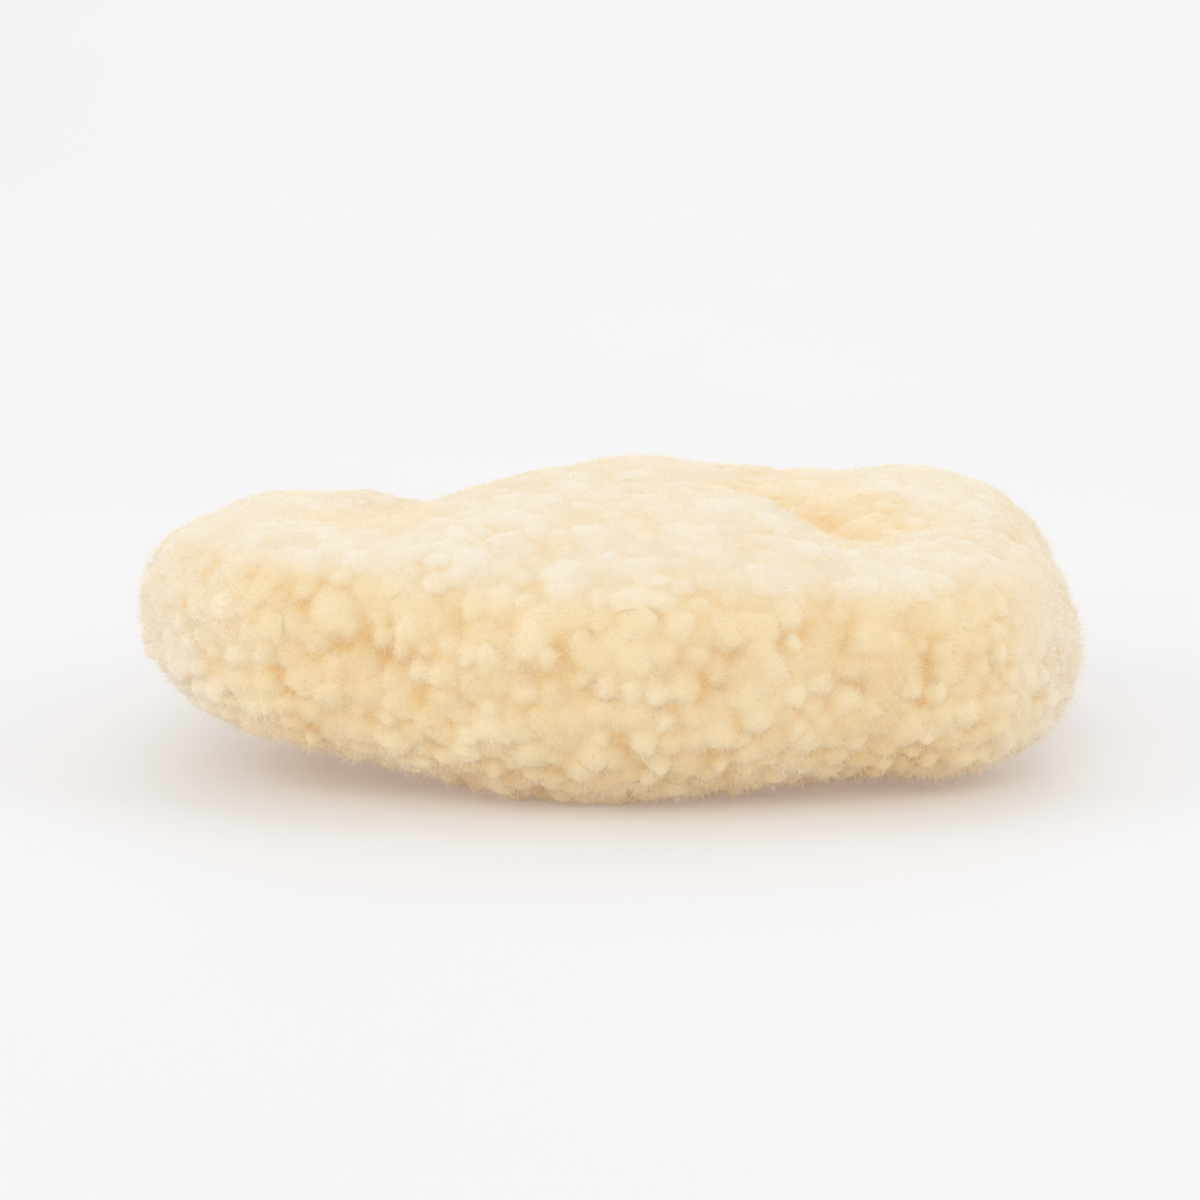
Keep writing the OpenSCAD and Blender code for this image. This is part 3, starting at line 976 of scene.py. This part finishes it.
# the tack: out of the cuff beside the tape, along the fold and back in on the other side
leg = TAPE_W / 2 + TACK_R + 0.3
bar = [(-3.6, -leg, 0), (-1.2, -leg, 0), (-0.3, -leg + 0.1, 0)]
bar += [(0, y, 0) for y in np.linspace(-leg + 0.5, leg - 0.5, 24)]
bar += [(x, -y, z) for x, y, z in bar[2::-1]]
tack = sewn(tubes("bar_tack", [(PIN + np.array(bar)) * MM], TACK_R - 0.02, 10), "loop_tack")


# ---- materials ----
WHITE = (1, 1, 1, 1)
BLACK = (0, 0, 0, 1)


def srgb(*levels):
    """The colour that a screen shows at these three levels from 0 to 255."""
    shares = [level / 255 for level in levels]
    return tuple(s / 12.92 if s <= 0.04045 else ((s + 0.055) / 1.055) ** 2.4 for s in shares) + (1.0,)


class Nodes:
    """A material's node tree with short calls for adding nodes and links."""

    def __init__(self, name):
        self.mat = bpy.data.materials.new(name)
        self.mat.use_nodes = True
        self.tree = self.mat.node_tree
        self.shader = self.tree.nodes["Principled BSDF"]

    def add(self, kind, links=None, **values):
        """A node with its inputs linked to other outputs, and its settings and plain inputs by name."""
        node = self.tree.nodes.new(kind)
        for key, value in values.items():
            if hasattr(node, key):
                setattr(node, key, value)
            else:
                node.inputs[key.replace("_", " ")].default_value = value
        for key, source in (links or {}).items():
            self.tree.links.new(source, node.inputs[key])
        return node

    def link(self, source, socket):
        """Links an output to one of the shader's inputs."""
        self.tree.links.new(source, self.shader.inputs[socket])

    def attribute(self, name):
        """The number stored at each vertex under this name."""
        return self.add("ShaderNodeAttribute", attribute_name=name).outputs["Fac"]

    def noise(self, where, scale, detail, roughness):
        """Cloudy noise from 0 to 1."""
        return self.add("ShaderNodeTexNoise", {"Vector": where}, Scale=scale, Detail=detail,
                        Roughness=roughness).outputs["Fac"]

    def mix(self, share, one, two, blend="MIX"):
        """Two colours mixed; each argument is a plain value or another node's output."""
        node = self.add("ShaderNodeMix", data_type="RGBA", blend_type=blend)
        # the mix node has sockets for other kinds too; these are its share and its two colours
        for socket, source in zip((node.inputs[0], node.inputs[6], node.inputs[7]), (share, one, two)):
            if isinstance(source, bpy.types.NodeSocket):
                self.tree.links.new(source, socket)
            else:
                socket.default_value = source
        return node.outputs[2]

    def surface(self, roughness, specular, sheen, sheen_colour=WHITE):
        """How the surface scatters light, with the soft edge glow of loose fibres."""
        for socket, value in (
            ("Roughness", roughness),
            ("Specular IOR Level", specular),
            ("Sheen Weight", sheen),
            ("Sheen Roughness", 0.5),
            ("Sheen Tint", sheen_colour),
        ):
            self.shader.inputs[socket].default_value = value

    def ramp(self, source, stops):
        """Colours by value; stops are pairs of a value and a colour."""
        node = self.tree.nodes.new("ShaderNodeValToRGB")
        ramp = node.color_ramp
        while len(ramp.elements) < len(stops):
            ramp.elements.new(0.5)
        for element, (place, colour) in zip(ramp.elements, stops):
            element.position = place
            element.color = colour
        self.tree.links.new(source, node.inputs["Fac"])
        return node.outputs["Color"]

    def bump(self, height, strength, distance, normal=None):
        """A normal tilted by a height, on top of another bump if one is given."""
        node = self.add("ShaderNodeBump", {"Height": height}, Strength=strength, Distance=distance)
        if normal is not None:
            self.tree.links.new(normal, node.inputs["Normal"])
        return node.outputs["Normal"]


def wool_colour(n):
    """Cream wool with painted light: a painted highlight on top and towards both ends, and painted shade,
    deeper and warmer, between tufts and in dimples.
    """
    where = n.add("ShaderNodeTexCoord").outputs["Object"]
    crease_shade = n.attribute("crease_shade")
    mottle = n.noise(where, 60.0, 4.0, 0.6)
    # each ramp runs from a tuft's top to the painted shade between tufts; top holds the painted highlight's
    # colours
    side = [(0.0, srgb(247, 229, 192)), (0.45, srgb(244, 222, 179)), (1.0, srgb(239, 203, 148))]
    top = [(0.0, srgb(244, 237, 222)), (0.45, srgb(243, 232, 209)), (1.0, srgb(243, 219, 176))]
    colour = n.mix(n.attribute("painted_highlight"), n.ramp(crease_shade, side), n.ramp(crease_shade, top))
    # painted shade in dimples, a random mottle and the tuft's own tone, each multiplied in
    for source, stops in (
        (n.attribute("dimple_shade"), [(0.0, WHITE), (1.0, srgb(252, 231, 197))]),
        (mottle, [(0.35, srgb(253, 248, 238)), (0.65, srgb(255, 255, 254))]),
        (n.attribute("tone"), [(0.0, srgb(250, 243, 230)), (1.0, WHITE)]),
    ):
        colour = n.mix(1.0, colour, n.ramp(source, stops), "MULTIPLY")
    return colour, where


def wool_material():
    """The curls' surface, with fine strands as bump under the fibres that are real geometry."""
    n = Nodes("wool_curls")
    colour, where = wool_colour(n)
    curls = n.noise(where, 900.0, 5.0, 0.7)
    strands = n.add("ShaderNodeTexWave", {"Vector": where}, Scale=260.0, Distortion=22.0, Detail=3.0,
                    Detail_Scale=2.2).outputs["Fac"]
    n.link(colour, "Base Color")
    n.link(n.bump(strands, 0.2, 0.0003, n.bump(curls, 0.3, 0.0004)), "Normal")
    n.surface(0.95, 0.1, 0.55, srgb(255, 248, 232))
    return n.mat


def fibre_material(name, painted_brightness):
    """The wool's colour where each fibre grows, with the given share of near-white as painted brightness,
    which makes up for the light that the thin fibres miss and paints a pale glow at the edges.
    """
    n = Nodes(name)
    n.link(n.mix(painted_brightness, wool_colour(n)[0], srgb(255, 252, 244)), "Base Color")
    n.surface(0.9, 0.1, 0.55, srgb(255, 250, 238))
    return n.mat


def paint(obj, mat):
    """Gives the object one material in place of any it has."""
    obj.data.materials.clear()
    obj.data.materials.append(mat)


def cloth_material(name, dark, light, scale, roughness, bump_scale, bump_height, sheen=0.2, weave=()):
    """A soft textile: two close colours, an optional weave of crossed waves, and a fine fibre bump."""
    n = Nodes(name)
    where = n.add("ShaderNodeTexCoord").outputs["Object"]
    colour = n.ramp(n.noise(where, scale, 5.0, 0.6), [(0.3, dark), (0.7, light)])
    normal = n.bump(n.noise(where, bump_scale, 3.0, 0.65), 0.5, bump_height)
    for direction, wave_scale in weave:
        wave = n.add("ShaderNodeTexWave", {"Vector": where}, bands_direction=direction, Scale=wave_scale,
                     Distortion=0.6).outputs["Fac"]
        normal = n.bump(wave, 0.4, 0.0002, normal)
        colour = n.mix(0.5, colour, n.ramp(wave, [(0.0, srgb(236, 233, 228)), (0.6, WHITE)]), "MULTIPLY")
    n.link(colour, "Base Color")
    n.link(normal, "Normal")
    n.surface(roughness, 0.25, sheen)
    return n


def label_material():
    """White satin with a grey woven line just inside the label's edge."""
    weave = [("X", 900), ("Y", 900)]
    satin = (srgb(238, 236, 232), srgb(246, 245, 242))
    n = cloth_material("woven_label", *satin, 300, 0.5, 2500, 0.00005, 0.1, weave)
    line = n.ramp(n.attribute("border"), [(0.0, BLACK), (0.35, WHITE), (0.75, BLACK)])
    base = n.shader.inputs["Base Color"].links[0].from_socket
    n.link(n.mix(line, base, srgb(120, 120, 124)), "Base Color")
    return n.mat


wool_mat = wool_material()
# share of painted brightness on each kind of fibre, more on the haze
curled_mat = fibre_material("curled_fibres", 0.4)
haze_mat = fibre_material("haze_fibres", 0.65)
for piece in (palm, back):
    paint(piece, wool_mat)
for piece in wisps:
    paint(piece, haze_mat if "haze" in piece.name else curled_mat)
for pieces, name, dark, light, *values in (
    ([rib], "rib_knit", (233, 219, 190), (243, 232, 208), 90, 0.9, 1400, 0.0002, 0.4),
    ([elastic], "woven_elastic", (232, 230, 226), (242, 241, 238), 200, 0.6, 1800, 0.0001, 0.1,
     [("Y", 500)]),
    (hides, "suede_hide", (214, 178, 130), (230, 198, 154), 40, 0.95, 1600, 0.0003, 0.5),
    (linings, "tricot_lining", (222, 220, 214), (234, 232, 228), 60, 0.7, 1500, 0.0001, 0.3,
     [("X", 420), ("Y", 520)]),
    ([loop], "cotton_twill", (206, 182, 146), (222, 200, 166), 120, 0.85, 1500, 0.0002, 0.3,
     [("DIAGONAL", 330)]),
    (threads + [label_stitches, tack], "sewing_thread", (240, 230, 208), (250, 243, 226), 400, 0.55,
     2200, 0.0001, 0.2, [("DIAGONAL", 900)]),
):
    cloth = cloth_material(name, srgb(*dark), srgb(*light), *values).mat
    for piece in pieces:
        paint(piece, cloth)
paint(label, label_material())


# ---- camera, floor and light ----
def aimed(name, data, position, target):
    """A camera or light at the position, turned to the target."""
    obj = in_scene(name, data)
    obj.location = position
    obj.rotation_mode = "QUATERNION"
    obj.rotation_quaternion = (Vector(target) - Vector(position)).to_track_quat("-Z", "Y")
    return obj


# the view from in front of the fingers, 0.8 m away and 8 degrees above level
elevation = math.radians(8)
target = Vector((-0.0045, -0.060, 0.036))
away = Vector((0, -math.cos(elevation), math.sin(elevation)))
lens = bpy.data.cameras.new("camera")
lens.lens = 100
lens.sensor_width = 36
bpy.context.scene.camera = aimed("camera", lens, target + away * 0.80, target)


def sweep_floor():
    """A pale floor that curves up into the backdrop."""
    bend = 0.8
    line = [(y, 0.0) for y in (-12.0, -1.0, 0.0, bend)]
    for a in np.linspace(0.1, math.pi / 2, 14):
        line.append((bend + bend * math.sin(a), bend - bend * math.cos(a)))
    line += [(2 * bend, 2.5)]
    verts = [(x, y, z) for y, z in line for x in (-12.0, 12.0)]
    faces = [(2 * i, 2 * i + 1, 2 * i + 3, 2 * i + 2) for i in range(len(line) - 1)]
    return new_object("floor", verts, faces)


floor = sweep_floor()
n = Nodes("floor")
where = n.add("ShaderNodeTexCoord").outputs["Object"]
cloud = n.add("ShaderNodeTexNoise", {"Vector": where}, Scale=3.0, Detail=2.0).outputs["Fac"]
n.link(n.ramp(cloud, [(0.3, srgb(210, 217, 220)), (0.7, srgb(213, 220, 223))]), "Base Color")
n.surface(0.6, 0.2, 0.0)
# a faint warm glow stands for light that a studio's pale surroundings send back into the shadow
n.shader.inputs["Emission Color"].default_value = (1.0, 0.77, 0.72, 1.0)
n.shader.inputs["Emission Strength"].default_value = 0.215
paint(floor, n.mat)


def softbox(name, position, target, size, power):
    """A square white area light."""
    light = bpy.data.lights.new(name, "AREA")
    light.shape = "SQUARE"
    light.size = size
    light.energy = power
    aimed(name, light, position, target)


softbox("overhead", (0.1, 0.9, 1.3), (0, 0, 0), 1.6, 5.8)
softbox("front", (-0.2, -1.7, 0.8), (0, 0, 0.03), 1.4, 7.2)
softbox("left", (-1.3, -0.3, 0.7), (0, 0, 0.03), 1.0, 5.0)
softbox("right", (1.3, -0.3, 0.7), (0, 0, 0.03), 1.0, 4.4)
world = bpy.data.worlds.new("studio")
world.use_nodes = True
background = world.node_tree.nodes["Background"]
background.inputs["Color"].default_value = (1, 0.995, 0.99, 1)
background.inputs["Strength"].default_value = 0.66
bpy.context.scene.world = world
bpy.context.scene.view_settings.view_transform = "Standard"
